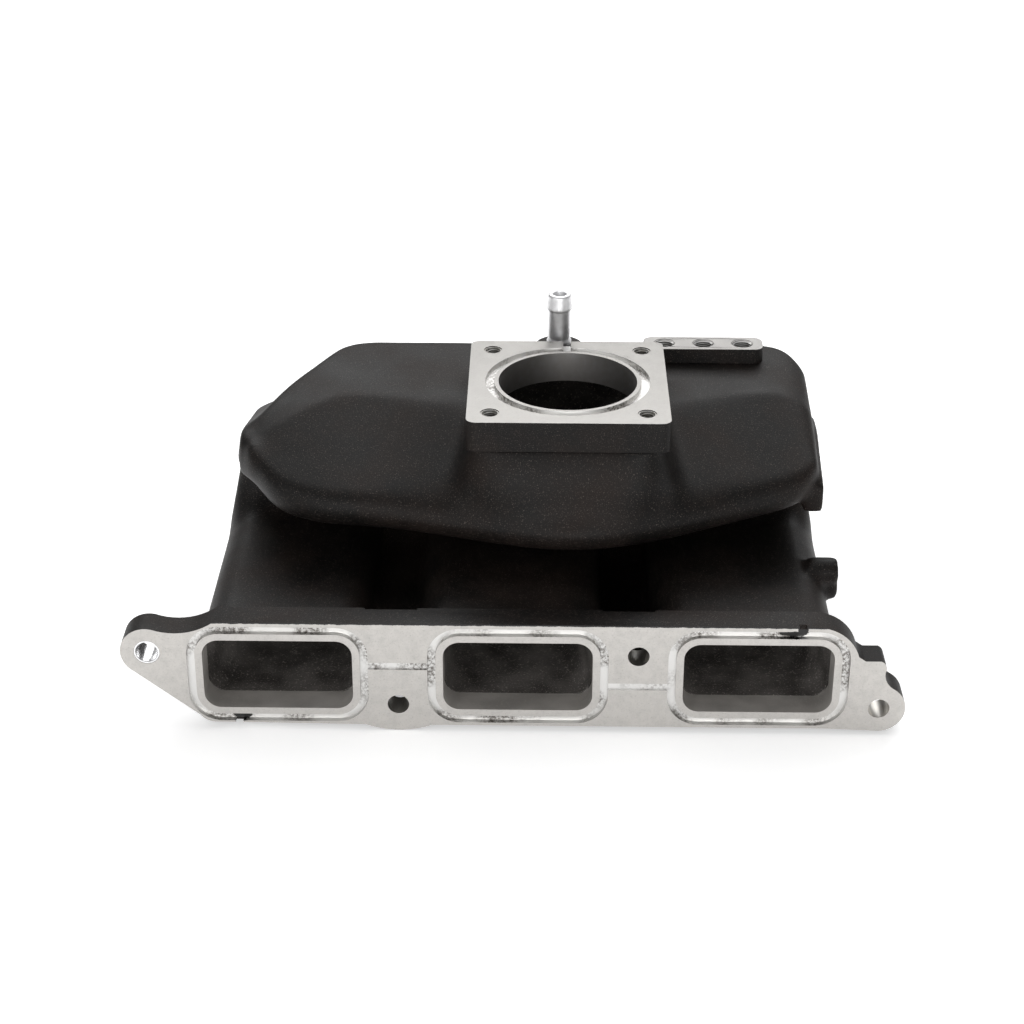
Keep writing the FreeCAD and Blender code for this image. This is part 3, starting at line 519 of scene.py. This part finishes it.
def throttleFinish(centre, normal):
    t = throttle
    fromAxis = math.hypot(centre.x - t["axis"][0], centre.y - t["axis"][1])
    if normal.z > 0.6 and centre.z > t["face"] - 0.4:
        return topOn
    if fromAxis < t["bore"] + 0.4:
        return boredOn
    if centre.z > t["sealFloor"] - 0.3 and fromAxis < t["side"] - 1.0:
        return sealOn
    if centre.z > t["sealFloor"] - 0.3 and abs(centre.x - t["axis"][0]) < t["ventHalf"] and normal.y < 0.8:
        return sealOn
    return 0


throttleFlange = crispPiece("throttleFlange", "throttle_flange", throttle["edgeMm"], 2)
dress(throttleFlange, [black, topMilledPaintedShade, grooveFloor, boredWall], throttleFinish)
hand(throttleFlange, "machined_aluminium", "throttle_flange")

rail = {"edgeMm": 0.3, "top": 87.6, "across": 82.7, "back": 148.5, "pitch": 17.8, "tap": 4.3, "rim": 0.7,
        "threadPitch": 1.0, "threadDepth": 0.45, "threadLength": 5.0, "threadDrop": 0.9}


def railFinish(centre, normal):
    r = rail
    if normal.z > 0.6 and centre.z > r["top"] - 0.6:
        return 1
    near = min(math.hypot(centre.x - r["across"] - k * r["pitch"], centre.y - r["back"]) for k in (-1, 0, 1))
    return 1 if near < r["tap"] + r["rim"] else 0


vacuumRail = crispPiece("vacuumRail", "vacuum_rail", rail["edgeMm"], 2)
dress(vacuumRail, [black, railMilledPaintedShade], railFinish)
hand(vacuumRail, "rail_aluminium", "vacuum_rail")
print("throttle flange and rail done")


# turned pieces and threads

spun = {"steps": 96, "threadSteps": 28, "sharpAbove": 32}


def turnedFinish(piece, finish):
    piece.data.shade_smooth()
    piece.data.set_sharp_from_angle(angle=math.radians(spun["sharpAbove"]))
    piece.data.materials.append(finish)
    return piece


def spunPiece(name, profile, centre, axis, finish):
    # profile holds (radius, height) pairs in millimetres along the axis
    work = bmesh.new()
    start = centre * mm
    side = Vector((1, 0, 0))
    points = [work.verts.new(start + (side * radius + axis * height) * mm) for radius, height in profile]
    edges = [work.edges.new(pair) for pair in zip(points, points[1:])]
    bmesh.ops.spin(work, geom=points + edges, cent=start, axis=axis, angle=math.tau, steps=spun["steps"],
                   use_merge=True)
    bmesh.ops.remove_doubles(work, verts=work.verts, dist=0.001 * mm)
    bmesh.ops.recalc_face_normals(work, faces=work.faces)
    return turnedFinish(placeMesh(work, name), finish)


def threadPiece(name, centre, radius, depth, pitch, length, finish):
    # one tooth, wound down the hole as a helix, closed at both ends
    work = bmesh.new()
    tooth = [(radius + 0.05, -pitch * 0.46), (radius - depth, -pitch * 0.08), (radius - depth, pitch * 0.08),
             (radius + 0.05, pitch * 0.46)]
    points = [work.verts.new(Vector((centre.x + r, centre.y, centre.z + z)) * mm) for r, z in tooth]
    face = work.faces.new(points)
    turns = length / pitch
    steps = int(turns * spun["threadSteps"])
    bmesh.ops.spin(work, geom=[face], cent=centre * mm, axis=(0, 0, 1), angle=math.tau * turns,
                   dvec=Vector((0, 0, -length / steps)) * mm, steps=steps)
    bmesh.ops.recalc_face_normals(work, faces=work.faces)
    return turnedFinish(placeMesh(work, name), finish)


barb = {"seat": (16.8, 146.0, 81.0),
        "profile": [(3.1, 0.0), (4.0, 0.0), (4.0, 6.6), (5.4, 6.6), (5.6, 6.8), (5.6, 8.8), (5.4, 9.3),
                    (5.05, 10.1), (5.0, 11.0), (5.0, 23.2), (5.08, 23.7), (5.4, 24.0), (5.75, 24.25),
                    (5.85, 24.7), (5.85, 25.2), (5.75, 25.9), (5.5, 27.6), (5.3, 29.2), (5.2, 30.2),
                    (5.05, 30.8), (4.7, 31.25), (4.4, 31.4), (3.5, 31.4), (3.2, 31.2), (3.1, 30.9),
                    (3.1, 0.0)]}
upright = Vector((0, 0, 1))
hoseBarb = spunPiece("hoseBarb", barb["profile"], Vector(barb["seat"]), upright, turnedSteel)
hand(hoseBarb, "turned_barb", "hose_barb")

sleeve = {"seat": (-154, 0, 10.3),
          "profile": [(4.5, 0.35), (4.7, 0.05), (5.3, 0.05), (5.5, 0.25), (5.5, 12.9), (5.2, 13.0),
                      (4.7, 13.0), (4.5, 12.8), (4.5, 0.35)]}
locatingSleeve = spunPiece("locatingSleeve", sleeve["profile"], Vector(sleeve["seat"]), Vector((0, 1, 0)),
                           sleeveSteel)
hand(locatingSleeve, "sleeve_steel", "locating_sleeve")

insert = {"bore": 3.0, "square": 33.1, "bottom": 80.5, "threadTop": 12.3, "threadPitch": 1.0,
          "threadDepth": 0.42, "threadLength": 11.0,
          "profile": [(3.0, 0.0), (4.0, 0.0), (4.0, 13.1), (3.9, 13.2), (3.35, 13.2), (3.0, 12.85),
                      (3.0, 0.0)]}
for number, (sideX, sideY) in enumerate(((-1, -1), (1, -1), (-1, 1), (1, 1)), start=1):
    place = Vector((throttle["axis"][0] + sideX * insert["square"],
                    throttle["axis"][1] + sideY * insert["square"], insert["bottom"]))
    tube = spunPiece(f"threadInsert{number}", insert["profile"], place, upright, insertSteel)
    hand(tube, "insert_steel", "throttle_thread_inserts")
    winding = threadPiece(f"insertThread{number}", place + upright * insert["threadTop"], insert["bore"],
                          insert["threadDepth"], insert["threadPitch"], insert["threadLength"], insertSteel)
    hand(winding, "insert_steel")
for number, step in enumerate((-1, 0, 1), start=1):
    place = Vector((rail["across"] + step * rail["pitch"], rail["back"], rail["top"] - rail["threadDrop"]))
    winding = threadPiece(f"railThread{number}", place, rail["tap"], rail["threadDepth"],
                          rail["threadPitch"], rail["threadLength"], railThread)
    hand(winding, "rail_aluminium")
print("turned pieces and threads done")


# table, light and camera

studio = {"floor": "#f6f6f6", "world": "#ffffff", "fill": 0.3, "glow": 0.5, "tableHalf": 6.0, "gap": 0.0002}
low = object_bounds()[0]
work = bmesh.new()
bmesh.ops.create_grid(work, x_segments=1, y_segments=1, size=studio["tableHalf"])
bmesh.ops.translate(work, verts=work.verts, vec=(0, 0, low[2] - studio["gap"]))
table = placeMesh(work, "table")
floorColour = linearColor(studio["floor"])
paper = finishMaterial(newMaterial("matPaperTable"),
                       {"Base Color": floorColour, "Roughness": 0.9, "Emission Color": floorColour,
                        "Emission Strength": studio["glow"]})
table.data.materials.append(paper)

# name, place, aim, size across and down, power
lights = (("overhead", (0.05, 0.25, 1.1), (0, 0.08, 0.03), (1.2, 0.8), 3.0),
          ("rear", (0.1, 1.25, 1.15), (0, 0.1, 0.05), (2.2, 0.9), 20.0),
          ("front", (0.1, -1.4, 0.3), (0, 0.0, 0.0), (1.0, 0.5), 8.0),
          ("leftFront", (-0.9, -0.9, 0.7), (0, 0.05, 0.02), (0.9, 0.9), 3.4))
for name, place, aim, size, power in lights:
    lamp = bpy.data.lights.new(name, "AREA")
    lamp.shape = "RECTANGLE"
    lamp.size, lamp.size_y = size
    lamp.energy = power
    light = bpy.data.objects.new(name, lamp)
    light.location = place
    light.rotation_euler = (Vector(aim) - Vector(place)).to_track_quat("-Z", "Y").to_euler()
    bpy.context.scene.collection.objects.link(light)


def paleWorld():
    # the room looks white, but lights the object only softly, so black surfaces stay black
    world = bpy.data.worlds.new("paleStudio")
    world.use_nodes = True
    tree = world.node_tree
    seen = tree.nodes["Background"]
    seen.inputs[0].default_value = linearColor(studio["world"])
    fill = tree.nodes.new("ShaderNodeBackground")
    fill.inputs[0].default_value = linearColor(studio["world"])
    fill.inputs[1].default_value = studio["fill"]
    path = tree.nodes.new("ShaderNodeLightPath")
    choose = tree.nodes.new("ShaderNodeMixShader")
    tree.links.new(path.outputs["Is Camera Ray"], choose.inputs[0])
    tree.links.new(fill.outputs[0], choose.inputs[1])
    tree.links.new(seen.outputs[0], choose.inputs[2])
    tree.links.new(choose.outputs[0], tree.nodes["World Output"].inputs[0])
    return world


scene = bpy.context.scene
scene.world = paleWorld()
scene.view_settings.view_transform = "Standard"

lens = {"focalMm": 76.54, "place": (0.0074, -0.7701, 0.4818), "right": (0.9999, 0.0141, 0.0022),
        "up": (-0.0085, 0.4648, 0.8854)}
camera = bpy.data.cameras.new("bench")
camera.lens = lens["focalMm"]
camera.sensor_width = 36.0
camera.clip_start = 0.01
across = Vector(lens["right"]).normalized()
back = across.cross(Vector(lens["up"])).normalized()
up = back.cross(across)
viewer = bpy.data.objects.new("bench", camera)
viewer.matrix_world = Matrix.Translation(lens["place"]) @ Matrix((across, up, back)).transposed().to_4x4()
scene.collection.objects.link(viewer)
scene.camera = viewer
print("table, light and camera set")
